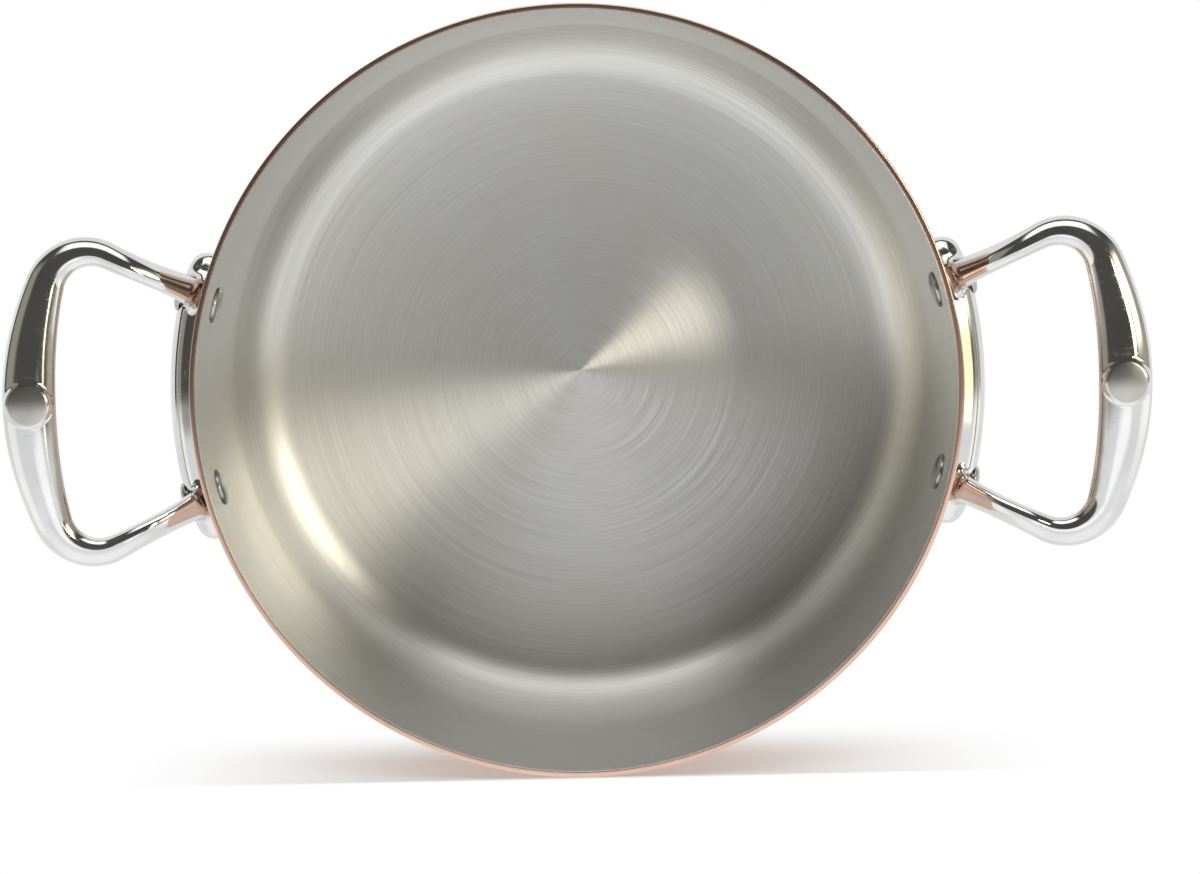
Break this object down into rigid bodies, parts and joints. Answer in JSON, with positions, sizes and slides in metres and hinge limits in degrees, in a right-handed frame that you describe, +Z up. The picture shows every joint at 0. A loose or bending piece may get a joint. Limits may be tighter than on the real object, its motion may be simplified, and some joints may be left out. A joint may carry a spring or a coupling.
{
  "type": "two-handled cooking pot",
  "caption": "Round straight-sided cooking pot of copper lined with steel, open at the top, with cast steel loop handles riveted to opposite sides.",
  "frame": {"origin": "centre of the flat underside, where the pot rests", "axes": "+Z up along the pot's axis out of its mouth, +X through the middle of the right handle, +Y to the rear"},
  "size_m": [0.3574, 0.24, 0.1255],
  "materials": {
    "copper": "polished copper with fine turning lines",
    "lining_steel": "stainless steel brushed in circles",
    "handle_steel": "mirror-polished cast stainless steel",
    "rivet_steel": "satin stainless steel"
  },
  "bodies": {
    "root": {"copper_shell": "copper", "steel_lining": "lining_steel", "handle_left": "handle_steel", "handle_right": "handle_steel", "rivet_left_front": "rivet_steel", "rivet_left_rear": "rivet_steel", "rivet_right_front": "rivet_steel", "rivet_right_rear": "rivet_steel"}
  },
  "joints": []
}
